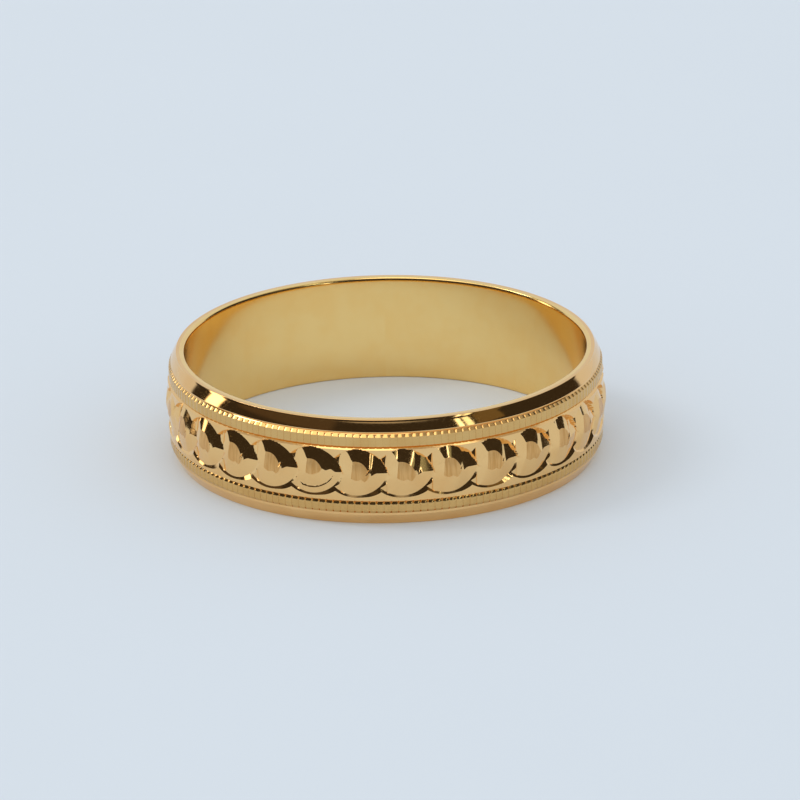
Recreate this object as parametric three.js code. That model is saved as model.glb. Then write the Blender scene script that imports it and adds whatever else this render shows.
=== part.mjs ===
// A gold wedding band, built up on the bench from six pieces: a plain liner sleeve, a turned rim at
// each edge, a beaded milgrain wire inside each rim, and a centre strip chased with a row of
// overlapping discs. The pieces are slid onto the sleeve and soldered into one rigid ring.
// Millimetres. +Z runs along the finger, and the ring stands on its lower edge at z = 0.

import * as THREE from "three";

// ---- Driving dimensions ----

const BAND_WIDTH = 5.0; // edge to edge, along the finger
const BORE_RADIUS = 9.25; // finger hole, 18.5 across
const CREST_RADIUS = 10.16; // highest point of the ring, on the tips of the discs
const SOLDER_SEAM = 0.02; // clearance between neighbouring pieces
const ROUND_SEGMENTS = 120; // facets round each turned piece, four to a disc

// Liner sleeve
const SLEEVE_WALL = 0.25;
const BORE_EASE = 0.06; // broken edge at each mouth of the bore

// Rims
const LAND_RADIUS = 9.66; // where the flat end face meets the bevel
const BEVEL_FOOT_RADIUS = 9.93;
const BEVEL_DROP = 0.53; // how far the bevel's foot lies below the end face
const RIM_WIDTH = 0.6; // end face to the milgrain wire
const RIM_GROOVE_DEPTH = 0.06;

// Milgrain wires
const BEAD_COUNT = 188; // beads on each wire
const BEAD_CREST_RADIUS = 10.02;
const BEAD_VALLEY_RADIUS = 9.9;
const WIRE_FLANK = 0.12; // how far each outer corner of the wire is eased in

// Centre strip
const STRIP_HALF_WIDTH = 1.31;
const STRIP_EDGE_RADIUS = 9.9;
const FIELD_RADIUS = 10.05; // the plain field above and below the discs
const FIELD_HALF_WIDTH = 1.16;
const DISC_COUNT = 30;
const DISC_HALF_HEIGHT = 1.08;
const DISC_NOTCH_HALF_HEIGHT = 0.74; // where the outlines of two neighbours cross
const DISC_FACET = 0.3; // width of the facet along the top and the bottom of each disc
const DISC_CUT_RADIUS = 9.97; // floor of the cut that outlines each disc
const DISC_RISE = 0.14; // each disc climbs this much from its tail to its point
const DISC_TIP_REACH = 0.5; // how far a point stands out in front of its disc's shoulders
const DISC_STEP = 0.04; // width of the step down from a point to the next disc
const DISC_COLUMNS = 7; // columns of points along one disc

// ---- Derived places ----

const MIDDLE = BAND_WIDTH / 2;
const SLEEVE_OUTER_RADIUS = BORE_RADIUS + SLEEVE_WALL;
const SEAT_RADIUS = SLEEVE_OUTER_RADIUS + SOLDER_SEAM; // inner wall of all that sits on the sleeve
const WIRE_FAR_EDGE = MIDDLE - RIM_WIDTH - SOLDER_SEAM; // from the ring's middle plane
const WIRE_NEAR_EDGE = STRIP_HALF_WIDTH + SOLDER_SEAM;

// ---- Finishes ----

const gold = (name, color, roughness) => {
  const finish = new THREE.MeshStandardMaterial({ color, roughness, metalness: 1 });
  finish.name = name;
  return finish;
};

const point = (radius, height) => new THREE.Vector2(radius, height);

// ---- Shared shapes ----

// Turns a closed (radius, height) outline round the finger's axis. The outline runs anticlockwise:
// up its outer side and down its inner side. Station 0 is at -Y, and stations run towards +X.
function turned(outline, segments = ROUND_SEGMENTS) {
  const geometry = new THREE.LatheGeometry([...outline, outline[0].clone()], segments);
  return geometry.rotateX(Math.PI / 2);
}

// The same outline, reflected in the ring's middle plane, for the piece at the other edge.
const mirrored = (outline) => outline.map((p) => point(p.x, BAND_WIDTH - p.y)).reverse();

// ---- Liner sleeve ----

function sleeveGeometry() {
  return turned([
    point(BORE_RADIUS + BORE_EASE, 0),
    point(SLEEVE_OUTER_RADIUS, 0),
    point(SLEEVE_OUTER_RADIUS, BAND_WIDTH),
    point(BORE_RADIUS + BORE_EASE, BAND_WIDTH),
    point(BORE_RADIUS, BAND_WIDTH - BORE_EASE),
    point(BORE_RADIUS, BORE_EASE),
  ]);
}

// ---- Rims ----

// Flat end face, polished bevel, and a hollowed groove that runs down to the milgrain wire.
function upperRimOutline() {
  const top = BAND_WIDTH;
  const foot = top - BEVEL_DROP;
  const base = top - RIM_WIDTH;
  const grooveRadius = BEVEL_FOOT_RADIUS - RIM_GROOVE_DEPTH;
  return [
    point(SEAT_RADIUS, base),
    point(BEVEL_FOOT_RADIUS, base),
    point(grooveRadius + 0.3 * RIM_GROOVE_DEPTH, base + 0.4 * (foot - base)),
    point(grooveRadius, base + 0.8 * (foot - base)),
    point(BEVEL_FOOT_RADIUS, foot),
    point(LAND_RADIUS, top),
    point(SEAT_RADIUS, top),
  ];
}

// ---- Milgrain wires ----

// A strip of wire with square-shouldered sides, whose outer corners rise to a crest in the middle of
// each bead and fall to a valley between beads.
function milgrainGeometry(nearHeight, farHeight) {
  const outline = [
    point(SEAT_RADIUS, nearHeight),
    point(BEAD_CREST_RADIUS, nearHeight + WIRE_FLANK),
    point(BEAD_CREST_RADIUS, farHeight - WIRE_FLANK),
    point(SEAT_RADIUS, farHeight),
  ];
  const stations = 2 * BEAD_COUNT;
  const geometry = turned(outline, stations);
  const position = geometry.getAttribute("position");
  const pointsPerStation = outline.length + 1;
  const valleyScale = BEAD_VALLEY_RADIUS / BEAD_CREST_RADIUS;
  for (let i = 0; i < position.count; i += 1) {
    const station = Math.floor(i / pointsPerStation);
    const isOuter = Math.hypot(position.getX(i), position.getY(i)) > BEAD_VALLEY_RADIUS;
    if (isOuter && station % 2 === 1) {
      position.setX(i, position.getX(i) * valleyScale);
      position.setY(i, position.getY(i) * valleyScale);
    }
  }
  return geometry;
}

// ---- Centre strip ----

// One row of points along the strip. The near row of a pair lies below the middle plane (side -1)
// and the far row above it (side 1).
//   offset(share)  distance from the middle plane, where share runs 0..1 from a disc's tail to its tip
//   radius(share)  distance from the finger's axis
//   lead           how far the row's points are swept forward, towards the tip
const fixed = (value) => () => value;
const swell = (share) => Math.sqrt(Math.sin(Math.PI * share));
const outlineOffset = (share) => {
  return DISC_NOTCH_HALF_HEIGHT + (DISC_HALF_HEIGHT - DISC_NOTCH_HALF_HEIGHT) * swell(share);
};
const faceRadius = (share) => CREST_RADIUS - DISC_RISE * (1 - share);
const shoulderRadius = (share) => faceRadius(share) - 0.3 * DISC_RISE;

const STRIP_ROWS = {
  seat: { offset: fixed(STRIP_HALF_WIDTH), radius: fixed(SEAT_RADIUS), lead: 0 },
  edge: { offset: fixed(STRIP_HALF_WIDTH), radius: fixed(STRIP_EDGE_RADIUS), lead: 0 },
  field: { offset: fixed(FIELD_HALF_WIDTH), radius: fixed(FIELD_RADIUS), lead: 0 },
  outline: { offset: outlineOffset, radius: fixed(DISC_CUT_RADIUS), lead: 0 },
  shoulder: {
    offset: (share) => outlineOffset(share) - DISC_FACET,
    radius: shoulderRadius,
    lead: 0.6 * DISC_TIP_REACH,
  },
  ridge: { offset: fixed(0), radius: faceRadius, lead: DISC_TIP_REACH },
};

// A turned blank whose outer face is then chased: each row of points is moved to the height, the
// radius and the sweep that it has at its place along a disc.
function chasedStripGeometry() {
  const names = ["seat", "edge", "field", "outline", "shoulder"];
  const below = names.map((name) => ({ ...STRIP_ROWS[name], side: -1 }));
  const above = names.map((name) => ({ ...STRIP_ROWS[name], side: 1 })).reverse();
  const rows = [...below, { ...STRIP_ROWS.ridge, side: 1 }, ...above];
  const blank = rows.map((row) => point(row.radius(0), MIDDLE + row.side * row.offset(0)));
  const geometry = turned(blank, DISC_COUNT * DISC_COLUMNS);
  const position = geometry.getAttribute("position");
  const pitch = (2 * Math.PI) / DISC_COUNT;
  const discSpan = pitch - DISC_STEP / FIELD_RADIUS;
  for (let i = 0; i < position.count; i += 1) {
    const station = Math.floor(i / (rows.length + 1));
    const row = rows[(i % (rows.length + 1)) % rows.length];
    const disc = Math.floor(station / DISC_COLUMNS);
    const share = (station % DISC_COLUMNS) / (DISC_COLUMNS - 1);
    const sweep = (row.lead - DISC_TIP_REACH) / FIELD_RADIUS; // tips stand on the pitch lines
    const angle = disc * pitch + share * discSpan + sweep;
    const radius = row.radius(share);
    const height = MIDDLE + row.side * row.offset(share);
    position.setXYZ(i, radius * Math.sin(angle), -radius * Math.cos(angle), height);
  }
  geometry.computeVertexNormals();
  return geometry;
}

// ---- The ring ----

const group = new THREE.Group();

function addPiece(name, geometry, finish) {
  const piece = new THREE.Mesh(geometry, finish);
  piece.name = name;
  group.add(piece);
}

const upperRim = upperRimOutline();

addPiece("inner_sleeve", sleeveGeometry(), gold("bore gold", 0xd8ba76, 0.22));
addPiece("lower_rim", turned(mirrored(upperRim)), gold("lower rim gold", 0xe2c48c, 0.08));
addPiece(
  "lower_milgrain_wire",
  milgrainGeometry(MIDDLE - WIRE_FAR_EDGE, MIDDLE - WIRE_NEAR_EDGE),
  gold("lower milgrain gold", 0xd2b070, 0.25),
);
addPiece("centre_band", chasedStripGeometry(), gold("chased gold", 0xe2c48c, 0.12));
addPiece(
  "upper_milgrain_wire",
  milgrainGeometry(MIDDLE + WIRE_NEAR_EDGE, MIDDLE + WIRE_FAR_EDGE),
  gold("upper milgrain gold", 0xd2b070, 0.25),
);
addPiece("upper_rim", turned(upperRim), gold("upper rim gold", 0xe2c48c, 0.08));

export default group;
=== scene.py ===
"""A chased gold wedding band, standing on its edge on a pale table in soft daylight.

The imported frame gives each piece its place. The visual pieces are made here: a polished liner
sleeve, two bevelled rims, two beaded milgrain wires and a centre strip into which a row of
overlapping discs is cut. Lengths inside the classes are in millimetres, as a goldsmith gives them,
and MM turns them into the frame's metres.
"""

import logging
import math
from dataclasses import dataclass, field
from enum import Enum

import bpy
import numpy as np
from mathutils import Matrix, Vector


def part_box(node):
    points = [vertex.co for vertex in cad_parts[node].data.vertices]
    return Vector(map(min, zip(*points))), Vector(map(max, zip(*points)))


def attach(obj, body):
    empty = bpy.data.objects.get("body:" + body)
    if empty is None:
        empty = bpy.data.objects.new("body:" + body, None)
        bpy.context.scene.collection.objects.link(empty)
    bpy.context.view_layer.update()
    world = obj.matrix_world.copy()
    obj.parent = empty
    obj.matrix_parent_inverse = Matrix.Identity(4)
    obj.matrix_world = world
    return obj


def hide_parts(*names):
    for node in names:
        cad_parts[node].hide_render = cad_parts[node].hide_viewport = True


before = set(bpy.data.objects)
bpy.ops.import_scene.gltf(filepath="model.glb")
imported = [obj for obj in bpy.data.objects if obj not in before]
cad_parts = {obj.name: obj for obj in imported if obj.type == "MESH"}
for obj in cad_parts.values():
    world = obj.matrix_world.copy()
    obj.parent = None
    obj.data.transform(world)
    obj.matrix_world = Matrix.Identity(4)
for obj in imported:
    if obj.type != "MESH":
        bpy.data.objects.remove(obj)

MM = 0.001
BODY = "root"
LOG = logging.getLogger("wedding_band")

Outline = list[tuple[float, float]]


class Edge(Enum):
    """The two edges of the band; the value is the side of the middle plane that each lies on."""

    LOWER = -1
    UPPER = 1


class Facet(Enum):
    """The kinds of surface that make up the face of the centre strip."""

    FIELD = 0
    UPPER_CUT = 1
    LOWER_CUT = 2
    BLADE = 3
    BLADE_BACK = 4
    NICK = 5
    NICK_BACK = 6
    OUTER_WALL = 7
    CHANNEL = 8
    ENGRAVED = 9
    SECOND_LINE = 10


DISC_STRIDE = 20  # how far apart the facet numbers of neighbouring discs are
DISC_BEFORE = 100  # added to a facet number where the disc before cuts into this one
HIDDEN = -1.0  # depth of a cut at places where it doesn't show
ENGRAVED_NAME = "engraved"  # face attribute that says where graver lines lie


# ---------------------------------------------------------------------------------------------
# The ring's measures
# ---------------------------------------------------------------------------------------------

SLEEVE_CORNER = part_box("inner_sleeve")[1]
BAND_WIDTH = SLEEVE_CORNER.z / MM
SLEEVE_RADIUS = SLEEVE_CORNER.x / MM
MIDDLE = BAND_WIDTH / 2.0
RIM_INNER_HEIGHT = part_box("upper_rim")[0].z / MM
WIRE_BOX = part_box("upper_milgrain_wire")
WIRE_RADIUS = WIRE_BOX[1].x / MM
WIRE_LOW = WIRE_BOX[0].z / MM
WIRE_HIGH = WIRE_BOX[1].z / MM
STRIP_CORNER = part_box("centre_band")[1]
NOMINAL_RADIUS = STRIP_CORNER.y / MM  # the crest of the discs
STRIP_TOP = STRIP_CORNER.z / MM


# ---------------------------------------------------------------------------------------------
# Small helpers
# ---------------------------------------------------------------------------------------------


def smoothstep(value: np.ndarray) -> np.ndarray:
    """Ease a value from 0 to 1 with level ends.

    Args:
        value: Any numbers; those outside 0 to 1 are clamped.

    Returns:
        The eased numbers.
    """
    t = np.clip(value, 0.0, 1.0)
    return t * t * (3.0 - 2.0 * t)


def arc(centre: tuple[float, float], radius: float, start: float, end: float, steps: int) -> Outline:
    """Points along a circular arc in the (radius, height) plane.

    Args:
        centre: Centre of the arc.
        radius: Radius of the arc.
        start: First angle in degrees, anticlockwise from outwards.
        end: Last angle in degrees.
        steps: Number of steps between the two ends.

    Returns:
        The points, both ends included.
    """
    angles = np.radians(np.linspace(start, end, steps + 1))
    return [(centre[0] + radius * math.cos(a), centre[1] + radius * math.sin(a)) for a in angles]


def mesh_object(name: str, vertices: np.ndarray, faces: np.ndarray) -> bpy.types.Object:
    """Make a mesh object from arrays and link it to the scene.

    Args:
        name: Name of the object and of its mesh.
        vertices: One row of x, y, z for each vertex, in metres.
        faces: One row of vertex numbers for each face.

    Returns:
        The new object, at the origin.
    """
    mesh = bpy.data.meshes.new(name)
    mesh.from_pydata([tuple(v) for v in vertices], [], [tuple(int(i) for i in f) for f in faces])
    mesh.update()
    piece = bpy.data.objects.new(name, mesh)
    bpy.context.scene.collection.objects.link(piece)
    return piece


def smooth_by_angle(piece: bpy.types.Object, degrees: float) -> None:
    """Shade a piece smooth, apart from edges that turn by more than an angle.

    Args:
        piece: The mesh object.
        degrees: The largest turn that is still shaded smooth.
    """
    piece.data.shade_smooth()
    piece.data.set_sharp_from_angle(angle=math.radians(degrees))


def ring_points(angle: np.ndarray, radius: np.ndarray, height: np.ndarray) -> np.ndarray:
    """Place points round the finger's axis.

    Args:
        angle: Angle of each point from the front, in radians.
        radius: Its distance from the axis, in millimetres.
        height: Its height, in millimetres.

    Returns:
        One row of x, y, z for each point, in metres.
    """
    places = np.broadcast_arrays(radius * np.sin(angle), -radius * np.cos(angle), height)
    return np.stack(places, axis=-1).reshape(-1, 3) * MM


def section_faces(columns: int, count: int, closed: bool) -> np.ndarray:
    """Join neighbouring columns of points, each of which runs once round a section.

    Args:
        columns: Number of columns.
        count: Number of points in each column.
        closed: Whether the last column is joined to the first.

    Returns:
        One row of four point numbers for each face.
    """
    here = np.arange(columns)[:, None] * count
    there = np.roll(here, -1, axis=0)
    if not closed:
        here, there = here[:-1], there[:-1]
    low = np.arange(count)[None, :]
    high = np.roll(low, -1, axis=1)
    return np.stack([here + low, there + low, there + high, here + high], axis=-1).reshape(-1, 4)


def turned(name: str, outline: Outline, segments: int) -> bpy.types.Object:
    """Turn a closed outline round the finger's axis, as on a lathe.

    Args:
        name: Name of the new object.
        outline: Points (radius, height) in millimetres, anticlockwise, not repeated at the end.
        segments: Number of facets round the ring.

    Returns:
        The turned, closed piece.
    """
    profile = np.array(outline)
    angles = np.linspace(0.0, 2.0 * math.pi, segments, endpoint=False)[:, None]
    vertices = ring_points(angles, profile[:, 0], profile[:, 1])
    return mesh_object(name, vertices, section_faces(segments, len(profile), closed=True))


def ride_and_replace(piece: bpy.types.Object, node: str) -> None:
    """Fix a finished piece to the ring in place of its plain node.

    Args:
        piece: The finished mesh object.
        node: The frame's node that it stands for.
    """
    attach(piece, BODY)
    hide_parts(node)
    LOG.info("%s: %d faces, stands for %s", piece.name, len(piece.data.polygons), node)


# ---------------------------------------------------------------------------------------------
# Finishes
# ---------------------------------------------------------------------------------------------


MIX_INPUTS = (0, 6, 7)  # a mix node's sockets for the share and for its two colours
MIX_OUTPUT = 2


class NodeBench:
    """A material's or a world's node tree, with short calls to lay nodes down and join them."""

    def __init__(self, tree: bpy.types.NodeTree) -> None:
        """Clear the tree and keep it.

        Args:
            tree: The tree to build in.
        """
        self.tree = tree
        tree.nodes.clear()

    def add(self, kind: str, **settings: object) -> bpy.types.Node:
        """Lay down one node.

        Args:
            kind: The node's type name.
            **settings: Properties of the node to set.

        Returns:
            The new node.
        """
        node = self.tree.nodes.new(kind)
        for key, value in settings.items():
            setattr(node, key, value)
        return node

    def join(self, source: bpy.types.NodeSocket, target: bpy.types.NodeSocket) -> None:
        """Link an output socket to an input socket."""
        self.tree.links.new(source, target)

    def feed(self, socket: bpy.types.NodeSocket, value: object) -> None:
        """Give an input socket a link or a constant.

        Args:
            socket: The input socket.
            value: Another node's output socket, or a number, colour or vector.
        """
        if isinstance(value, bpy.types.NodeSocket):
            self.join(value, socket)
        else:
            socket.default_value = value

    def math(self, operation: str, *values: object, clamp: bool = False) -> bpy.types.NodeSocket:
        """Do one sum on numbers or sockets.

        Args:
            operation: Blender's name for the operation.
            *values: The numbers or sockets that go in.
            clamp: Whether the result is kept within 0 to 1.

        Returns:
            The result's socket.
        """
        node = self.add("ShaderNodeMath", operation=operation, use_clamp=clamp)
        for socket, value in zip(node.inputs, values):
            self.feed(socket, value)
        return node.outputs[0]

    def ease(self, value: object, low: float, high: float) -> bpy.types.NodeSocket:
        """Turn a value into a smooth 0 to 1 step between two limits.

        Args:
            value: The number or socket to read.
            low: Where the step starts.
            high: Where the step ends; it may lie below low.

        Returns:
            The step's socket.
        """
        node = self.add("ShaderNodeMapRange", interpolation_type="SMOOTHSTEP")
        self.feed(node.inputs["Value"], value)
        node.inputs["From Min"].default_value = low
        node.inputs["From Max"].default_value = high
        return node.outputs["Result"]

    def mix(self, share: object, first: object, second: object) -> bpy.types.NodeSocket:
        """Mix two colours.

        Args:
            share: How much of the second colour shows.
            first: The first colour or its socket.
            second: The second colour or its socket.

        Returns:
            The mixed colour's socket.
        """
        node = self.add("ShaderNodeMix", data_type="RGBA")
        for socket, value in zip(MIX_INPUTS, (share, first, second)):
            self.feed(node.inputs[socket], value)
        return node.outputs[MIX_OUTPUT]

    def noise(self, vector: bpy.types.NodeSocket, scale: float, detail: float) -> bpy.types.NodeSocket:
        """Lay down a noise texture.

        Args:
            vector: Where the texture is read.
            scale: Noise cells to one unit of the vector.
            detail: Number of finer layers.

        Returns:
            The noise value's socket, about 0.5 on average.
        """
        node = self.add("ShaderNodeTexNoise")
        self.join(vector, node.inputs["Vector"])
        node.inputs["Scale"].default_value = scale
        node.inputs["Detail"].default_value = detail
        return node.outputs["Fac"]

    def split(self, vector: bpy.types.NodeSocket) -> tuple[bpy.types.NodeSocket, ...]:
        """Take a vector apart into its three numbers.

        Args:
            vector: The vector's socket.

        Returns:
            The sockets of x, y and z.
        """
        node = self.add("ShaderNodeSeparateXYZ")
        self.join(vector, node.inputs[0])
        return tuple(node.outputs)

    def heading(self, x: bpy.types.NodeSocket, y: bpy.types.NodeSocket) -> bpy.types.NodeSocket:
        """Angle round the finger's axis from the front (-Y) towards +X, in radians."""
        return self.math("ARCTAN2", x, self.math("MULTIPLY", y, -1.0))

    def close(self, kind: str, shader: bpy.types.Node) -> None:
        """Lay down the output node of the given type and join the shader to it."""
        self.join(shader.outputs[0], self.add(kind).inputs["Surface"])


def new_material(name: str) -> tuple[bpy.types.Material, NodeBench]:
    """Make a material with an empty node tree.

    Args:
        name: The material's name.

    Returns:
        The material and a bench to build its tree on.
    """
    material = bpy.data.materials.new(name)
    material.use_nodes = True
    return material, NodeBench(material.node_tree)


@dataclass(frozen=True)
class Grain:
    """A noise texture over the metal, read round the ring, along the finger and outwards.

    Attributes:
        stretch: Factor on each of the three; a small one draws the texture out that way.
        scale: Noise cells to a millimetre where the stretch is 1.
        detail: Number of finer layers.
    """

    stretch: tuple[float, float, float] = (1.0, 1.0, 1.0)
    scale: float = 1.0
    detail: float = 3.0


TONE_GRAIN = Grain(scale=0.7)
TONE_LIMITS = (0.35, 0.7)  # noise values between which the deeper tone fades in
WEAR_GRAIN = Grain(scale=9.0, detail=4.0)
WEAR_LIMITS = (0.35, 0.75)  # the same for wear
SCRATCH_GRAIN = Grain((0.25, 14.0, 14.0))
RIPPLE_STRETCH = (0.45, 1.0, 1.0)
RIPPLE_DETAIL = 2.0
GRAVER_GRAIN = Grain((11.0, 0.9, 0.9))
GRAVER_LIMITS = (0.62, 0.36)  # the same for the painted shade in the graver lines, which lies low
GRAVER_PAINTED_SHADE_BASE = 0.55  # share of that painted shade which lies over the engraved parts between the lines


@dataclass(frozen=True)
class GoldFinish:
    """Yellow gold with the marks of one way of finishing it.

    Attributes:
        name: The material's name.
        colour: Reflectance of the gold, linear.
        warm: Colour where the alloy and the film of wear look deeper.
        roughness: Roughness of the polished metal.
        roughness_spread: How far wear makes the roughness vary.
        ripple: Height of the slow waves that hand polishing leaves, in millimetres.
        ripple_size: Length of those waves.
        scratch: Height of fine scratches that run round the ring.
        graver: Height of the fine upright graver lines on the engraved parts.
        graver_roughness: How much rougher the engraved parts are.
        graver_painted_shade: Colour of the painted shade in the bottoms of the graver lines, which also
            lies more faintly over the engraved parts between them.
    """

    name: str
    colour: tuple[float, float, float]
    warm: tuple[float, float, float]
    roughness: float
    roughness_spread: float = 0.04
    ripple: float = 0.0
    ripple_size: float = 1.5
    scratch: float = 0.0
    graver: float = 0.0
    graver_roughness: float = 0.3
    graver_painted_shade: tuple[float, float, float] = (0.70, 0.37, 0.12)

    def build(self) -> bpy.types.Material:
        """Make the material.

        Returns:
            A metal material whose colour, roughness and bump all vary over the surface.
        """
        material, bench = new_material(self.name)
        place = self._ring_coordinates(bench)
        tinted = bench.ease(self._texture(bench, place, TONE_GRAIN), *TONE_LIMITS)
        tone = bench.mix(tinted, (*self.colour, 1.0), (*self.warm, 1.0))
        worn = bench.ease(self._texture(bench, place, WEAR_GRAIN), *WEAR_LIMITS)
        roughness = bench.math("ADD", bench.math("MULTIPLY", worn, self.roughness_spread), self.roughness)
        ripples = self._texture(bench, place, Grain(RIPPLE_STRETCH, 1.0 / self.ripple_size, RIPPLE_DETAIL))
        marks = self._texture(bench, place, SCRATCH_GRAIN)
        relief = bench.math("ADD", bench.math("MULTIPLY", ripples, self.ripple),
                            bench.math("MULTIPLY", marks, self.scratch))
        if self.graver:
            engraved = bench.add("ShaderNodeAttribute", attribute_name=ENGRAVED_NAME).outputs["Fac"]
            lines = self._texture(bench, place, GRAVER_GRAIN)
            # painted shade: the engraved parts are mixed towards a darker colour, most in the bottoms of
            # the graver lines
            cut = bench.math("MULTIPLY", bench.ease(lines, *GRAVER_LIMITS), 1.0 - GRAVER_PAINTED_SHADE_BASE)
            shade = bench.math("MULTIPLY", bench.math("ADD", GRAVER_PAINTED_SHADE_BASE, cut), engraved)
            tone = bench.mix(shade, tone, (*self.graver_painted_shade, 1.0))
            depth = bench.math("MULTIPLY", engraved, self.graver)
            relief = bench.math("ADD", relief, bench.math("MULTIPLY", lines, depth))
            extra = bench.math("MULTIPLY", engraved, self.graver_roughness)
            roughness = bench.math("ADD", roughness, extra)
        bump = bench.add("ShaderNodeBump")
        bump.inputs["Strength"].default_value = 1.0
        bump.inputs["Distance"].default_value = MM
        bench.join(relief, bump.inputs["Height"])
        shader = bench.add("ShaderNodeBsdfPrincipled")
        shader.inputs["Metallic"].default_value = 1.0
        bench.join(tone, shader.inputs["Base Color"])
        bench.join(roughness, shader.inputs["Roughness"])
        bench.join(bump.outputs["Normal"], shader.inputs["Normal"])
        bench.close("ShaderNodeOutputMaterial", shader)
        return material

    @staticmethod
    def _ring_coordinates(bench: NodeBench) -> tuple[bpy.types.NodeSocket, ...]:
        """Work out where a point of the surface lies on the ring, from Object coordinates.

        Args:
            bench: The material's bench.

        Returns:
            Millimetres round the ring, along the finger and out from its axis.
        """
        x, y, z = bench.split(bench.add("ShaderNodeTexCoord").outputs["Object"])
        around = bench.math("MULTIPLY", bench.heading(x, y), NOMINAL_RADIUS)
        squares = bench.math("ADD", bench.math("MULTIPLY", x, x), bench.math("MULTIPLY", y, y))
        radius = bench.math("MULTIPLY", bench.math("SQRT", squares), 1.0 / MM)
        return around, bench.math("MULTIPLY", z, 1.0 / MM), radius

    @staticmethod
    def _texture(bench: NodeBench, place: tuple[bpy.types.NodeSocket, ...],
                 grain: Grain) -> bpy.types.NodeSocket:
        """Lay a noise texture over the ring.

        Args:
            bench: The material's bench.
            place: The three ring coordinates.
            grain: The texture's stretch, scale and detail.

        Returns:
            The noise value's socket.
        """
        joined = bench.add("ShaderNodeCombineXYZ")
        for socket, value, factor in zip(joined.inputs, place, grain.stretch):
            bench.join(bench.math("MULTIPLY", value, factor), socket)
        return bench.noise(joined.outputs[0], grain.scale, grain.detail)


# ---------------------------------------------------------------------------------------------
# Pieces that are turned on the lathe
# ---------------------------------------------------------------------------------------------


@dataclass
class LinerSleeve:
    """The plain sleeve with the polished finger bore.

    Attributes:
        bore_radius: Radius of the finger hole.
        ease: Width of the rounded mouth at each end of the bore.
        ease_depth: How far the rounding reaches into the bore.
        segments: Facets round the bore.
        rows: Rows of facets along the bore.
        mouth_points: Points along the rounding of each mouth.
        smooth_turn: Largest turn between facets that is shaded smooth, in degrees.
        finish: The polish of the bore, whose gold is brighter than the rims' gold as painted light.
    """

    bore_radius: float = 9.25
    ease: float = 0.09
    ease_depth: float = 0.20
    segments: int = 480
    rows: int = 12
    mouth_points: int = 8
    smooth_turn: float = 30.0
    # Painted light: the bore's gold is brighter than the rims' gold, to brighten the inside of the ring.
    finish: GoldFinish = field(default_factory=lambda: GoldFinish(
        "bore_polish", (1.0, 0.71, 0.285), (0.99, 0.67, 0.25), 0.13, 0.05,
        ripple=0.006, ripple_size=1.6, scratch=0.0006))

    def outline(self) -> Outline:
        """The sleeve's section, with both mouths of the bore rounded."""
        share = np.radians(np.linspace(0.0, 90.0, self.mouth_points))
        mouth_radii = self.bore_radius + self.ease * (1.0 - np.sin(share))
        mouth_depths = self.ease_depth * (1.0 - np.cos(share))
        mouth = list(zip(mouth_radii, mouth_depths))
        bore = np.linspace(BAND_WIDTH - self.ease_depth, self.ease_depth, self.rows + 1)[1:-1]
        return [
            (SLEEVE_RADIUS, 0.0),
            (SLEEVE_RADIUS, BAND_WIDTH),
            *[(radius, BAND_WIDTH - depth) for radius, depth in mouth],
            *[(self.bore_radius, height) for height in bore],
            *reversed(mouth),
        ]

    def build(self) -> None:
        """Turn the sleeve, polish it and fix it to the ring."""
        piece = turned("liner_sleeve", self.outline(), self.segments)
        smooth_by_angle(piece, self.smooth_turn)
        piece.data.materials.append(self.finish.build())
        ride_and_replace(piece, "inner_sleeve")


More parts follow.
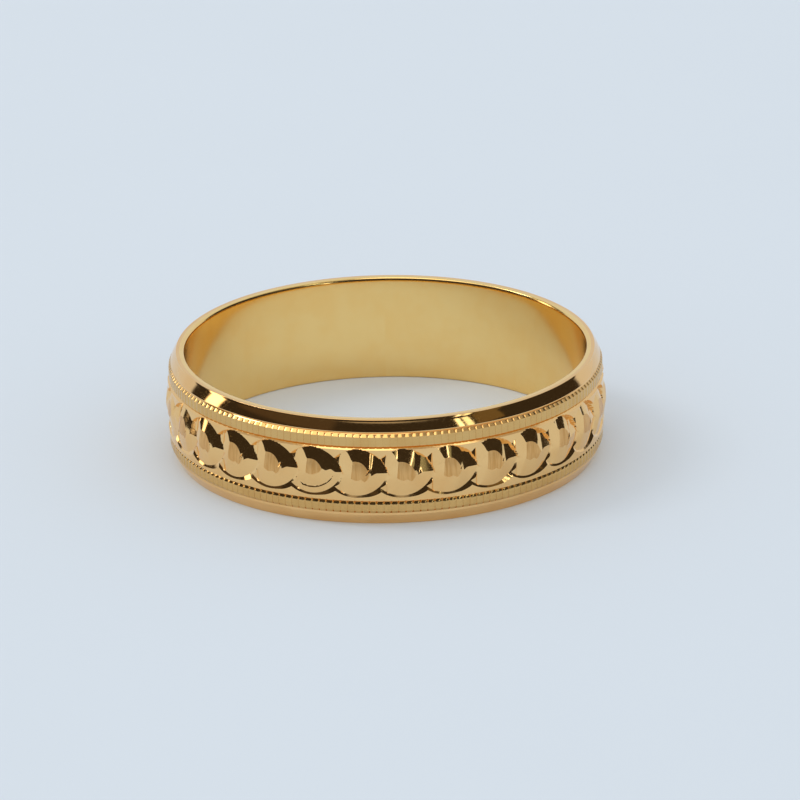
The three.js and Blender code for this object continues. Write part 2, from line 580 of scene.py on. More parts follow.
@dataclass
class PolishedRim:
    """The rim at one edge of the band: a flat end face, a mirror bevel and a bright ledge.

    Attributes:
        edge: Which edge of the band it closes.
        land: Outer radius of the flat end face.
        bevel_foot: Radius of the bevel's foot.
        bevel_drop: How far the bevel's foot lies in from the end face.
        bevel_swell: How far the bevel's face bulges.
        groove: Radius at the bottom of the groove below the upper rim's bevel.
        worn_groove: The same at the lower rim, where the groove is nearly polished away.
        ledge_out: Radius where the bright ledge meets the milgrain wire.
        lip: How far the groove's upper lip lies in from the bevel's foot.
        groove_drop: How far the bottom of the groove lies below the bevel's foot.
        hollow_drop: The same for the round of the groove, part of the way out to the foot.
        hollow_share: How far out that part is, from the bottom (0) to the foot (1).
        softness: Radius of the slightly worn corners.
        smooth_turn: Largest turn between facets that is shaded smooth, in degrees.
        segments: Facets round the rim.
        finish: The rim's polish.
    """

    edge: Edge
    land: float = 9.66
    bevel_foot: float = 9.915
    bevel_drop: float = 0.53
    bevel_swell: float = 0.010
    groove: float = 9.86
    worn_groove: float = 9.910
    ledge_out: float = 9.905
    lip: float = 0.004
    groove_drop: float = 0.025
    hollow_drop: float = 0.010
    hollow_share: float = 0.2
    softness: float = 0.035
    smooth_turn: float = 24.0
    segments: int = 480
    finish: GoldFinish = field(default_factory=lambda: GoldFinish(
        "rim_polish", (0.94, 0.60, 0.26), (0.92, 0.56, 0.23), 0.05, 0.05,
        ripple=0.0012, ripple_size=1.2, scratch=0.0005))

    def outline(self) -> Outline:
        """The upper rim's section, anticlockwise from its inner foot."""
        base = RIM_INNER_HEIGHT
        foot = BAND_WIDTH - self.bevel_drop
        soft = self.softness
        groove = self.groove if self.edge is Edge.UPPER else self.worn_groove
        lean = math.atan2(self.bevel_foot - self.land, self.bevel_drop)
        low = np.array((self.bevel_foot, foot + soft))
        high = np.array((self.land + 0.3 * soft, BAND_WIDTH - soft))
        out = self.bevel_swell * np.array((math.cos(lean), math.sin(lean)))
        face = [tuple(low + t * (high - low) + 4.0 * t * (1.0 - t) * out) for t in np.linspace(0.0, 1.0, 9)]
        return [
            (SLEEVE_RADIUS, base),
            (self.ledge_out, base),
            (groove, foot - self.groove_drop),
            (groove + self.hollow_share * (self.bevel_foot - groove), foot - self.hollow_drop),
            (self.bevel_foot - self.lip, foot),
            *face,
            *arc((self.land - 0.7 * soft, BAND_WIDTH - soft), soft, math.degrees(lean) + 8.0, 90.0, 4),
            (SLEEVE_RADIUS, BAND_WIDTH),
        ]

    def build(self) -> None:
        """Turn the rim, polish it and fix it to the ring."""
        outline = self.outline()
        if self.edge is Edge.LOWER:
            outline = [(radius, BAND_WIDTH - height) for radius, height in reversed(outline)]
        node = f"{self.edge.name.lower()}_rim"
        piece = turned(f"polished_{node}", outline, self.segments)
        smooth_by_angle(piece, self.smooth_turn)
        piece.data.materials.append(self.finish.build())
        ride_and_replace(piece, node)


# ---------------------------------------------------------------------------------------------
# Pieces that repeat round the ring
# ---------------------------------------------------------------------------------------------


HIGHEST_DRAW = 1000  # the draw for a copy wraps round the list of units


@dataclass
class RingArray:
    """A geometry-nodes tool that repeats unit pieces round the finger's axis and joins them.

    Attributes:
        count: Copies round the ring.
        seed: Seed that picks which unit goes where.
        phase: Turn of the first copy from the front, in radians.
        weld: Distance under which neighbouring points become one, in metres.
    """

    count: int
    seed: int
    phase: float = 0.0
    weld: float = 2e-6

    def tree(self) -> bpy.types.NodeTree:
        """Build the node tree with its named inputs.

        Returns:
            The geometry node tree.
        """
        tree = bpy.data.node_groups.new("ring_array", "GeometryNodeTree")
        sockets = (("Units", "NodeSocketCollection"), ("Count", "NodeSocketInt"),
                   ("Seed", "NodeSocketInt"), ("Phase", "NodeSocketFloat"),
                   ("Weld", "NodeSocketFloat"), ("Finish", "NodeSocketMaterial"))
        for name, kind in sockets:
            tree.interface.new_socket(name, in_out="INPUT", socket_type=kind)
        tree.interface.new_socket("Geometry", in_out="OUTPUT", socket_type="NodeSocketGeometry")
        bench = NodeBench(tree)
        given = bench.add("NodeGroupInput").outputs
        points = bench.add("GeometryNodePoints")
        bench.join(given["Count"], points.inputs["Count"])
        units = bench.add("GeometryNodeCollectionInfo")
        bench.join(given["Units"], units.inputs["Collection"])
        units.inputs["Separate Children"].default_value = True
        index = bench.add("GeometryNodeInputIndex").outputs[0]
        step = bench.math("DIVIDE", 2.0 * math.pi, given["Count"])
        turn = bench.math("ADD", bench.math("MULTIPLY", index, step), given["Phase"])
        spin = bench.add("ShaderNodeCombineXYZ")
        bench.join(turn, spin.inputs["Z"])
        rotation = bench.add("FunctionNodeEulerToRotation")
        bench.join(spin.outputs[0], rotation.inputs[0])
        choice = bench.add("FunctionNodeRandomValue", data_type="INT")
        integers = [s for s in choice.inputs if s.type == "INT" and s.name in ("Min", "Max")]
        integers[0].default_value = 0
        integers[1].default_value = HIGHEST_DRAW
        bench.join(given["Seed"], choice.inputs["Seed"])
        copies = bench.add("GeometryNodeInstanceOnPoints")
        copies.inputs["Pick Instance"].default_value = True
        bench.join(points.outputs[0], copies.inputs["Points"])
        bench.join(units.outputs[0], copies.inputs["Instance"])
        drawn = [s for s in choice.outputs if s.type == "INT"][0]
        bench.join(drawn, copies.inputs["Instance Index"])
        bench.join(rotation.outputs[0], copies.inputs["Rotation"])
        real = bench.add("GeometryNodeRealizeInstances")
        bench.join(copies.outputs[0], real.inputs[0])
        welded = bench.add("GeometryNodeMergeByDistance")
        bench.join(real.outputs[0], welded.inputs["Geometry"])
        bench.join(given["Weld"], welded.inputs["Distance"])
        dressed = bench.add("GeometryNodeSetMaterial")
        bench.join(welded.outputs[0], dressed.inputs["Geometry"])
        bench.join(given["Finish"], dressed.inputs["Material"])
        bench.join(dressed.outputs[0], bench.add("NodeGroupOutput").inputs[0])
        return tree

    def build(self, name: str, units: list[bpy.types.Object],
              finish: bpy.types.Material) -> bpy.types.Object:
        """Repeat the units round the ring and turn the result into a plain mesh.

        Args:
            name: Name of the finished piece.
            units: The unit pieces, placed at the front of the ring. They are used up.
            finish: The piece's material.

        Returns:
            The finished mesh object.
        """
        store = bpy.data.collections.new(f"{name}_units")
        bpy.context.scene.collection.children.link(store)
        for unit in units:
            bpy.context.scene.collection.objects.unlink(unit)
            store.objects.link(unit)
        carrier = bpy.data.objects.new(name, bpy.data.meshes.new(f"{name}_carrier"))
        bpy.context.scene.collection.objects.link(carrier)
        tree = self.tree()
        modifier = carrier.modifiers.new("ring_array", "NODES")
        modifier.node_group = tree
        given = {"Units": store, "Count": self.count, "Seed": self.seed, "Phase": self.phase,
                 "Weld": self.weld, "Finish": finish}
        for item in tree.interface.items_tree:
            if item.in_out == "INPUT":
                modifier[item.identifier] = given[item.name]
        bpy.context.view_layer.update()
        evaluated = carrier.evaluated_get(bpy.context.evaluated_depsgraph_get())
        mesh = bpy.data.meshes.new_from_object(evaluated)
        carrier.modifiers.remove(modifier)
        carrier.data = mesh
        mesh.name = name
        for unit in units:
            bpy.data.objects.remove(unit)
        bpy.data.collections.remove(store)
        return carrier


@dataclass
class MilgrainWire:
    """A wire rolled into a row of small pillow-shaped beads.

    Attributes:
        edge: The edge of the band it runs along.
        beads: Number of beads round the ring.
        outer_shoulder: How far the edge beside the rim lies in from the wire's face.
        inner_shoulder: How far the edge beside the centre strip lies in.
        outer_face: Where the face ends towards the rim, as a share of half the wire's width.
        inner_face: Where it ends towards the centre strip.
        waist: How deep the groove between two beads is on the crest.
        pinch: How much deeper that groove gets at the wire's flanks.
        flat_share: Share of the bead's width, either side of its middle, before the groove starts.
        valley_power: How sharply the groove falls away; 1 is straight.
        pinch_reach: How soon the pinch sets in down the flank.
        overlap: How far each flank reaches past the frame's wire, to close the seam.
        crown_drop: How far the wire's face lies inside the frame's wire.
        lifts: How much the crests of the unit beads stand above the wire's face.
        seed: Seed of the beads' order, to which the edge's side is added.
        smooth_turn: Largest turn between facets that is shaded smooth, in degrees.
        columns: Rows of points across one bead, as shares of its width.
        section: Rows of points across the wire, as shares of half its width.
        finish: The wire's finish, whose gold is darker than the rims' gold as painted shade between the
            beads.
    """

    edge: Edge
    beads: int = 188
    outer_shoulder: float = 0.115
    inner_shoulder: float = 0.085
    outer_face: float = 0.60
    inner_face: float = 0.92
    waist: float = 0.028
    pinch: float = 0.022
    flat_share: float = 0.32
    valley_power: float = 1.5
    pinch_reach: float = 1.3
    overlap: float = 0.02
    crown_drop: float = 0.01
    lifts: tuple[float, ...] = (0.0, 0.004, -0.004, 0.002, -0.006)
    seed: int = 11
    smooth_turn: float = 28.0
    columns: tuple[float, ...] = (-0.5, -0.43, -0.32, 0.0, 0.32, 0.43, 0.5)
    section: tuple[float, ...] = (-1.0, -0.92, -0.75, -0.55, -0.2, 0.2, 0.6, 0.8, 1.0)
    # Painted shade: the wire's gold is darker than the rims' gold, for the shade between the beads.
    finish: GoldFinish = field(default_factory=lambda: GoldFinish(
        "milgrain_gold", (0.76, 0.48, 0.18), (0.72, 0.43, 0.15), 0.14, 0.08,
        ripple=0.001, ripple_size=0.4, scratch=0.0004))

    def unit(self, lift: float, name: str) -> bpy.types.Object:
        """One bead with the wire behind it, at the front of the ring.

        Args:
            lift: How much this bead's crest stands above the others.
            name: Name of the unit.

        Returns:
            The unit, open at its two sides where its neighbours meet it.
        """
        half = (WIRE_HIGH - WIRE_LOW) / 2.0 + self.overlap
        centre = (WIRE_HIGH + WIRE_LOW) / 2.0
        u, v = np.meshgrid(np.array(self.columns), np.array(self.section), indexing="ij")
        outer = np.clip((v - self.outer_face) / (1.0 - self.outer_face), 0.0, 1.0)
        inner = np.clip((-v - self.inner_face) / (1.0 - self.inner_face), 0.0, 1.0)
        flank = outer + inner
        shoulders = self.outer_shoulder * outer + self.inner_shoulder * inner
        crown = WIRE_RADIUS - self.crown_drop - shoulders
        swell = lift * (1.0 - flank) * np.cos(math.pi * u) ** 2
        away = (np.abs(u) - self.flat_share) / (0.5 - self.flat_share)
        groove = self.waist + self.pinch * smoothstep(self.pinch_reach * flank)
        radius = crown + swell - groove * np.clip(away, 0.0, 1.0) ** self.valley_power
        height = centre + half * v
        ends = np.full((len(self.columns), 1), SLEEVE_RADIUS)
        radius = np.hstack([ends, radius, ends])
        height = np.hstack([height[:, :1], height, height[:, -1:]])
        angle = u[:, :1] * 2.0 * math.pi / self.beads
        if self.edge is Edge.LOWER:
            radius, height = radius[:, ::-1], BAND_WIDTH - height[:, ::-1]
        faces = section_faces(*radius.shape, closed=False)
        return mesh_object(name, ring_points(angle, radius, height), faces)

    def build(self) -> None:
        """Roll the wire, finish it and fix it to the ring."""
        node = f"{self.edge.name.lower()}_milgrain_wire"
        units = [self.unit(lift, f"{node}_bead_{i}") for i, lift in enumerate(self.lifts)]
        array = RingArray(self.beads, seed=self.seed + self.edge.value)
        piece = array.build(f"beaded_{node}", units, self.finish.build())
        smooth_by_angle(piece, self.smooth_turn)
        ride_and_replace(piece, node)


# ---------------------------------------------------------------------------------------------
# The chased centre strip
# ---------------------------------------------------------------------------------------------


@dataclass(frozen=True)
class DiscHand:
    """How one disc differs from the next, because each is cut by hand.

    Attributes:
        nick_start: Where the nick starts, along the row and across the strip, from the disc's middle.
        nick_length: Length of the nick.
        nick_depth: Depth of the nick at its upper end.
        blade_shift: How far the blade-shaped cut lies to one side.
        upper_depth: Extra depth of the upper cut.
        second_line: Depth of a second line inside the lower cut, or 0 for none.
    """

    nick_start: tuple[float, float] = (0.36, -0.02)
    nick_length: float = 0.55
    nick_depth: float = 0.09
    blade_shift: float = 0.0
    upper_depth: float = 0.0
    second_line: float = 0.0


HANDS = (
    DiscHand(nick_start=(0.31, -0.04), nick_length=0.45, nick_depth=0.08),
    DiscHand(nick_start=(0.27, -0.08), nick_length=0.85, nick_depth=0.13, blade_shift=0.02),
    DiscHand(nick_start=(0.37, -0.03), nick_length=0.55, nick_depth=0.10, upper_depth=-0.006),
    DiscHand(nick_start=(0.36, 0.03), nick_length=0.55, nick_depth=0.10, second_line=0.045),
    DiscHand(nick_start=(0.40, 0.05), nick_length=0.30, nick_depth=0.04, blade_shift=-0.02,
             upper_depth=0.008),
)


@dataclass
class DiscRelief:
    """The depth of the cuts that make a row of overlapping discs. x runs along the row, y across.

    Attributes:
        pitch: Distance from one disc to the next.
        upper_centre: Centre of the circle that cuts each disc's upper outline.
        upper_radius: Radius of that circle.
        lower_centre: Centre of the circle that cuts each disc's lower outline.
        lower_radius: Radius of that circle.
        fall: How much lower the uncut face lies at its edges than on the middle line.
        upper_slope: Rise of the upper cut towards the disc's middle.
        lower_slope: Rise of the lower cut towards the disc's middle.
        wall_slope: Rise of the steep wall outside the upper outline.
        tip: The disc's point.
        tip_start: Where the upper cut starts to level off towards the tip.
        tip_level: Height of its straight lower border there.
        tip_depth: Its depth at that border, near the tip.
        tip_lean: How fast it deepens towards the tip.
        tip_slope: How fast it deepens towards the upper outline, near the tip.
        blade_slope: Rise of the blade-shaped cut towards the disc's middle.
        blade_edge: Where the blade's bright edge lies at mid-height.
        blade_valley: Where the blade's deepest line lies.
        blade_back: Rise of its other side, away from its deepest line.
        blade_lean: How far the blade's edge moves to the right for each millimetre upwards.
        second_inset: How far inside the lower outline a second line lies, on the discs that have one.
        second_ends: Where that line starts and ends along the row.
        second_fades: Over what length it fades in at the one end and out at the other.
        second_slopes: Rise of its bank towards the disc's middle and towards the outline.
        spread: How much steeper the lower cut gets from the disc's middle on, and over what length.
        tip_blend: Over what length the upper cut levels off.
        tip_datum: Where along the row tip_depth holds.
        face_half: How far from the middle line the fall of the uncut face ends.
        edge_slope: How steeply the face goes on falling beyond that.
        lift_place: Middle and reach of a hand's extra depth along the upper cut.
        nick_turn: Direction of the nick, in degrees up from the row.
        nick_slopes: Rise of the nick's right wall, of its left wall, and of its upper end.
        nick_end: Where the nick fades out, as a share of its length.
        engraved_lap: How far the engraving reaches past the blade's edge.
        fan: Direction and width, in degrees, over which the bank turns into the wall round the tip.
    """

    pitch: float
    upper_centre: tuple[float, float] = (-0.10, -0.26)
    upper_radius: float = 1.444
    lower_centre: tuple[float, float] = (-0.15, 0.505)
    lower_radius: float = 1.535
    fall: float = 0.085
    upper_slope: float = 0.365
    lower_slope: float = 0.17
    wall_slope: float = 6.5
    tip_start: float = 0.45
    tip_level: float = 0.08
    tip_depth: float = 0.08
    tip_lean: float = 0.18
    tip_slope: float = 0.33
    blade_slope: float = 0.26
    blade_edge: float = -0.37
    blade_valley: float = -0.86
    blade_back: float = 0.8
    blade_lean: float = 0.10
    second_inset: float = 0.33
    second_ends: tuple[float, float] = (-0.85, 1.05)
    second_fades: tuple[float, float] = (0.25, 0.3)
    second_slopes: tuple[float, float] = (0.22, 0.6)
    spread: tuple[float, float] = (0.45, 0.45)
    tip_blend: float = 0.30
    tip_datum: float = 0.85
    face_half: float = 0.95
    edge_slope: float = 0.05
    lift_place: tuple[float, float] = (0.1, 0.35)
    nick_turn: float = 60.0
    nick_slopes: tuple[float, float, float] = (0.62, 1.3, 0.8)
    nick_end: float = 1.25
    engraved_lap: float = 0.02
    fan: tuple[float, float] = (-35.0, 60.0)
    tip: tuple[float, float] = field(init=False)

    def __post_init__(self) -> None:
        """Work out the disc's point, where its two outlines cross on the right."""
        a, b = np.array(self.upper_centre), np.array(self.lower_centre)
        between = b - a
        distance = float(np.hypot(*between))
        along = (self.upper_radius ** 2 - self.lower_radius ** 2 + distance ** 2) / (2.0 * distance)
        aside = math.sqrt(self.upper_radius ** 2 - along ** 2)
        direction = between / distance
        point = a + along * direction + aside * np.array([direction[1], -direction[0]])
        self.tip = (float(point[0]), float(point[1]))

    def upper_depth(self, x: np.ndarray, hand: DiscHand) -> np.ndarray:
        """Depth of the cut at the upper outline: it fades in from the tail and eases off at the tip."""
        places = (-1.3, -1.0, -0.8, -0.61, -0.5, -0.37, 0.1, 0.45, 0.6, 0.8, 1.0, 1.15, 1.31)
        depths = (0.23, 0.235, 0.215, 0.185, 0.205, 0.255, 0.27,
                  0.288, 0.305, 0.328, 0.308, 0.26, 0.165)
        window = np.exp(-((x - self.lift_place[0]) / self.lift_place[1]) ** 2)
        return np.interp(x, places, depths) + hand.upper_depth * window

    @staticmethod
    def lower_depth(x: np.ndarray) -> np.ndarray:
        """Depth of the cut at the lower outline, which grows towards the tip."""
        places = (-1.3, -0.6, 0.0, 0.25, 0.45, 0.8, 1.31)
        return np.interp(x, places, (0.155, 0.15, 0.145, 0.155, 0.175, 0.195, 0.16))

    @staticmethod
    def bank_slope(x: np.ndarray) -> np.ndarray:
        """Rise of the bank outside the lower outline, which gets gentler towards the tip."""
        return np.interp(x, (-1.3, -0.5, 0.1, 0.8, 1.31), (0.60, 0.62, 0.60, 0.50, 0.45))

    def ground(self, y: np.ndarray) -> np.ndarray:
        """How far the uncut face lies below the crest: it falls away towards both edges."""
        away = np.abs(y)
        beyond = np.maximum(0.0, away - self.face_half)
        return self.fall * smoothstep(away / self.face_half) + self.edge_slope * beyond

    def inside_depths(self, x: np.ndarray, y: np.ndarray, hand: DiscHand) -> dict[Facet, np.ndarray]:
        """Depths of the cuts that lie inside a disc's outline.

        Args:
            x: Places along the row, from the disc's middle.
            y: Places across the strip.
            hand: How this disc differs from the others.

        Returns:
            One array of depths for each facet; the deepest one shows.
        """
        to_upper, to_lower = self._to_outlines(x, y)
        edge = self.blade_edge + hand.blade_shift + self.blade_lean * y
        ground = self.ground(y)
        floor = self.blade_slope * (edge - self.blade_valley)
        spread = 1.0 + self.spread[0] * smoothstep(x / self.spread[1])
        lower_cut = self.lower_depth(x) - self.lower_slope * to_lower * spread
        upper_cut = self.upper_depth(x, hand) - self.upper_slope * to_upper
        share = smoothstep((x - self.tip_start) / self.tip_blend)
        tip_plane = self.tip_depth + self.tip_lean * (x - self.tip_datum)
        tip_plane = tip_plane + self.tip_slope * (y - self.tip_level)
        blade = ground + self.blade_slope * (edge - x)
        blade_back = ground + floor - self.blade_back * (self.blade_valley - x)
        depths = {
            Facet.UPPER_CUT: upper_cut * (1.0 - share) + tip_plane * share,
            Facet.LOWER_CUT: lower_cut,
            Facet.BLADE: np.where(x > self.blade_valley, blade, HIDDEN),
            Facet.BLADE_BACK: np.where(x <= self.blade_valley, blade_back, HIDDEN),
        }
        depths.update(self._nick(x, y, hand))
        if hand.second_line:
            inset = to_lower - self.second_inset
            fade_in = smoothstep((x - self.second_ends[0]) / self.second_fades[0])
            fade_out = smoothstep((self.second_ends[1] - x) / self.second_fades[1])
            rim = self.lower_depth(x) - self.lower_slope * self.second_inset * spread
            rise = np.where(inset > 0.0, -self.second_slopes[0] * inset, self.second_slopes[1] * inset)
            depths[Facet.SECOND_LINE] = rim + hand.second_line * fade_in * fade_out + rise
        return depths

    def _to_outlines(self, x: np.ndarray, y: np.ndarray) -> tuple[np.ndarray, np.ndarray]:
        """Find how far places lie inside the circles of a disc's outline.

        Args:
            x: Places along the row, from the disc's middle.
            y: Places across the strip.

        Returns:
            Distances inside the upper and inside the lower circle; negative ones lie outside.
        """
        upper = self.upper_radius - np.hypot(x - self.upper_centre[0], y - self.upper_centre[1])
        lower = self.lower_radius - np.hypot(x - self.lower_centre[0], y - self.lower_centre[1])
        return upper, lower

    def _nick(self, x: np.ndarray, y: np.ndarray, hand: DiscHand) -> dict[Facet, np.ndarray]:
        """Cut the small slanting nick: a long, gentle wall on its right and a steep one on its left.

        Args:
            x: Places along the row, from the disc's middle.
            y: Places across the strip.
            hand: How this disc differs from the others.

        Returns:
            The depths of the nick's two walls.
        """
        slant = math.radians(self.nick_turn)
        right_slope, left_slope, end_slope = self.nick_slopes
        dx, dy = x - hand.nick_start[0], y - hand.nick_start[1]
        along = dx * math.cos(slant) + dy * math.sin(slant)
        aside = dx * math.sin(slant) - dy * math.cos(slant)
        share = along / hand.nick_length
        deep = hand.nick_depth * np.minimum(share, 1.0)
        depth = np.where((share > 0.0) & (share < self.nick_end), deep, HIDDEN)
        depth = np.where(share >= 1.0, hand.nick_depth - end_slope * (share - 1.0), depth)
        return {
            Facet.NICK: np.where(aside > 0.0, depth - right_slope * aside, HIDDEN),
            Facet.NICK_BACK: np.where(aside <= 0.0, depth + left_slope * aside, HIDDEN),
        }

    def outer_depth(self, x: np.ndarray, y: np.ndarray) -> np.ndarray:
        """Depth of the bank or wall just outside a disc's outline.

        Args:
            x: Places along the row, from the disc's middle.
            y: Places across the strip.

        Returns:
            Depths below the crest; negative ones don't show.
        """
        upper, lower = np.array(self.upper_centre), np.array(self.lower_centre)
        from_upper = np.hypot(x - upper[0], y - upper[1])
        from_lower = np.hypot(x - lower[0], y - lower[1])
        upper_x = upper[0] + (x - upper[0]) * self.upper_radius / from_upper
        upper_y = upper[1] + (y - upper[1]) * self.upper_radius / from_upper
        lower_x = lower[0] + (x - lower[0]) * self.lower_radius / from_lower
        lower_y = lower[1] + (y - lower[1]) * self.lower_radius / from_lower
        on_upper = np.hypot(upper_x - lower[0], upper_y - lower[1]) <= self.lower_radius
        on_lower = np.hypot(lower_x - upper[0], lower_y - upper[1]) <= self.upper_radius
        wall = self.upper_depth(upper_x, HANDS[0]) - self.wall_slope * (from_upper - self.upper_radius)
        bank_depth = self.lower_depth(lower_x)
        bank_slope = self.bank_slope(lower_x)
        bank = bank_depth - bank_slope * (from_lower - self.lower_radius)
        tip_x, tip_y = x - self.tip[0], y - self.tip[1]
        fan = smoothstep((np.degrees(np.arctan2(tip_y, tip_x)) - self.fan[0]) / self.fan[1])
        tip_slope = bank_slope * (1.0 - fan) + self.wall_slope * fan
        corner = self.lower_depth(np.full_like(x, self.tip[0])) - tip_slope * np.hypot(tip_x, tip_y)
        corner = np.where(x > 0.0, corner, HIDDEN)
        depth = np.where(on_upper & (from_upper >= self.upper_radius), wall, HIDDEN)
        depth = np.where(on_lower & (from_lower >= self.lower_radius), np.maximum(depth, bank), depth)
        return np.where(~on_upper & ~on_lower, np.maximum(depth, corner), depth)

    def inside(self, x: np.ndarray, y: np.ndarray) -> np.ndarray:
        """Whether places lie within a disc's outline."""
        to_upper, to_lower = self._to_outlines(x, y)
        return (to_upper > 0.0) & (to_lower > 0.0)

    def sample(self, x: np.ndarray, y: np.ndarray, hand: DiscHand) -> tuple[np.ndarray, np.ndarray]:
        """Depth below the crest, and the facet that shows, over a disc and its neighbours' edges.

        Args:
            x: Places along the row, from the middle of the disc.
            y: Places across the strip.
            hand: How this disc differs from the others.

        Returns:
            The depths, and a number for each facet that tells discs apart too.
        """
        ground = self.ground(y)
        depth = ground.copy()
        label = np.full(x.shape, Facet.FIELD.value)
        neighbours = (1, 0, -1)
        outer = {k: self.outer_depth(x - k * self.pitch, y) for k in neighbours}
        for k in neighbours:
            label = np.where(outer[k] > depth, Facet.OUTER_WALL.value + DISC_STRIDE * (k + 1), label)
            depth = np.maximum(depth, outer[k])
        for k in neighbours:
            inside = self.inside(x - k * self.pitch, y)
            cuts = self.inside_depths(x - k * self.pitch, y, hand if k == 0 else HANDS[0])
            own_depth = ground.copy()
            engraved = x - k * self.pitch > self.blade_edge + self.blade_lean * y - self.engraved_lap
            own_label = np.where(engraved, Facet.ENGRAVED.value, Facet.FIELD.value)
            for facet, values in cuts.items():
                own_label = np.where(values > own_depth, facet.value, own_label)
                own_depth = np.maximum(own_depth, values)
            if k - 1 in outer:
                before = outer[k - 1]
                wall = Facet.OUTER_WALL.value + DISC_BEFORE
                own_label = np.where(before > own_depth, wall, own_label)
                own_depth = np.maximum(own_depth, before)
            depth = np.where(inside, own_depth, depth)
            label = np.where(inside, own_label + DISC_STRIDE * (k + 1), label)
        return depth, label


OFF_THE_FACE = (0.0, 9.0)  # a place beyond the strip, for the faces at its sides and back


@dataclass
class ChasedBand:
    """The centre strip: a gently crowned band whose face is cut into a row of overlapping discs.

    Attributes:
        discs: Number of discs round the ring.
        field_half: How far the plain field reaches up from the middle line.
        channel_slope: Fall of the bright channel above it.
        lower_half: How far the field reaches down from the middle line.
        lower_fall: Fall of the strip's lower edge.
        left: Where a unit starts, along the row from its disc's middle.
        columns: Facets along one unit.
        rows: Facets across the strip.
        disc_azimuth: Where a disc's middle lies, in degrees from the front.
        seed: Seed that picks which of the unit discs goes where.
        halvings: How often the search for a facet's edge halves its step.
        snap: Share of a cell by which a grid point may move onto a facet's edge.
        smooth_turn: Largest turn between facets that is shaded smooth, in degrees.
        finish: The strip's finish.
    """

    discs: int = 30
    field_half: float = 1.185
    channel_slope: float = 1.25
    lower_half: float = 1.27
    lower_fall: float = 2.8
    left: float = -1.0
    columns: int = 50
    rows: int = 60
    disc_azimuth: float = -7.18
    seed: int = 176
    halvings: int = 9
    snap: float = 0.52
    smooth_turn: float = 6.5
    finish: GoldFinish = field(default_factory=lambda: GoldFinish(
        "chased_gold", (0.95, 0.61, 0.26), (0.93, 0.57, 0.23), 0.07, 0.05,
        ripple=0.0012, ripple_size=0.35, scratch=0.0003, graver=0.012, graver_roughness=0.22))

    def __post_init__(self) -> None:
        """Lay out the relief at the disc pitch that closes the ring."""
        self.pitch = 2.0 * math.pi * NOMINAL_RADIUS / self.discs
        self.relief = DiscRelief(self.pitch)
        self.half_width = STRIP_TOP - MIDDLE

    def surface(self, x: np.ndarray, y: np.ndarray, hand: DiscHand) -> tuple[np.ndarray, np.ndarray]:
        """Radius of the strip's face and the facet that shows there.

        Args:
            x: Places along the row, from a disc's middle.
            y: Places across the strip, from the middle line.
            hand: How this disc differs from the others.

        Returns:
            The radii and the facet numbers.
        """
        depth, label = self.relief.sample(x, y, hand)
        fall = np.where(y > 0.0, self.channel_slope * (y - self.field_half),
                        self.lower_fall * (-y - self.lower_half))
        channel = self.relief.ground(y) + fall
        label = np.where(channel > depth, Facet.CHANNEL.value, label)
        depth = np.maximum(depth, channel)
        return NOMINAL_RADIUS - depth, label

    def _crossing(self, a: np.ndarray, b: np.ndarray, hand: DiscHand) -> np.ndarray:
        """Find where the facet changes between pairs of places, by halving.

        Args:
            a: First places, as rows of x and y.
            b: Second places.
            hand: How this disc differs from the others.

        Returns:
            The places where the facet changes.
        """
        a, b = a.copy(), b.copy()
        start = self.surface(a[:, 0], a[:, 1], hand)[1]
        for _ in range(self.halvings):
            middle = (a + b) / 2.0
            same = self.surface(middle[:, 0], middle[:, 1], hand)[1] == start
            a[same] = middle[same]
            b[~same] = middle[~same]
        return (a + b) / 2.0

    def _snapped_grid(self, hand: DiscHand) -> np.ndarray:
        """A grid of places over one unit, with points drawn onto the lines where facets meet.

        Args:
            hand: How this disc differs from the others.

        Returns:
            An array (columns + 1, rows + 1, 2) of x and y.
        """
        x = np.linspace(self.left, self.left + self.pitch, self.columns + 1)
        y = np.linspace(-self.half_width, self.half_width, self.rows + 1)
        grid = np.stack(np.meshgrid(x, y, indexing="ij"), axis=-1)
        label = self.surface(grid[..., 0], grid[..., 1], hand)[1]
        best = np.full(label.shape, np.inf)
        moved = grid.copy()
        for axis in (0, 1):
            first = [slice(None), slice(None)]
            second = [slice(None), slice(None)]
            first[axis], second[axis] = slice(None, -1), slice(1, None)
            changes = np.argwhere(label[tuple(first)] != label[tuple(second)])
            one = tuple(changes.T)
            other = tuple((changes + np.eye(2, dtype=int)[axis]).T)
            crossing = self._crossing(grid[one], grid[other], hand)
            for ends in (one, other):
                gap = np.abs(crossing - grid[ends])[:, axis]
                for i, j, place, distance in zip(ends[0], ends[1], crossing, gap):
                    if self._may_move(i, j, axis) and distance < best[i, j]:
                        best[i, j] = distance
                        moved[i, j] = place
        step = np.array([self.pitch / self.columns, 2.0 * self.half_width / self.rows])
        shift = moved - grid
        near = np.all(np.abs(shift) <= self.snap * step, axis=-1, keepdims=True)
        return grid + np.where(near, shift, 0.0)

    def _may_move(self, i: int, j: int, axis: int) -> bool:
        """Whether a grid point may slide along an axis: points on the unit's border keep to it."""
        if axis == 0:
            return 0 < i < self.columns
        return 0 < j < self.rows

    def _diagonals(self, grid: np.ndarray, radius: np.ndarray, hand: DiscHand) -> np.ndarray:
        """Choose, for each cell, the diagonal that lies closer to the surface.

        Args:
            grid: The unit's grid of places.
            radius: Radius at each place.
            hand: How this disc differs from the others.

        Returns:
            True where the rising diagonal is the better one.
        """
        def miss(a: tuple[slice, slice], b: tuple[slice, slice]) -> np.ndarray:
            """How far the surface lies from the straight line between two corners."""
            total = np.zeros((self.columns, self.rows))
            for share in (0.25, 0.5, 0.75):
                place = grid[a] * (1.0 - share) + grid[b] * share
                straight = radius[a] * (1.0 - share) + radius[b] * share
                total += np.abs(self.surface(place[..., 0], place[..., 1], hand)[0] - straight)
            return total

        low, high = slice(None, -1), slice(1, None)
        return miss((low, low), (high, high)) <= miss((high, low), (low, high))

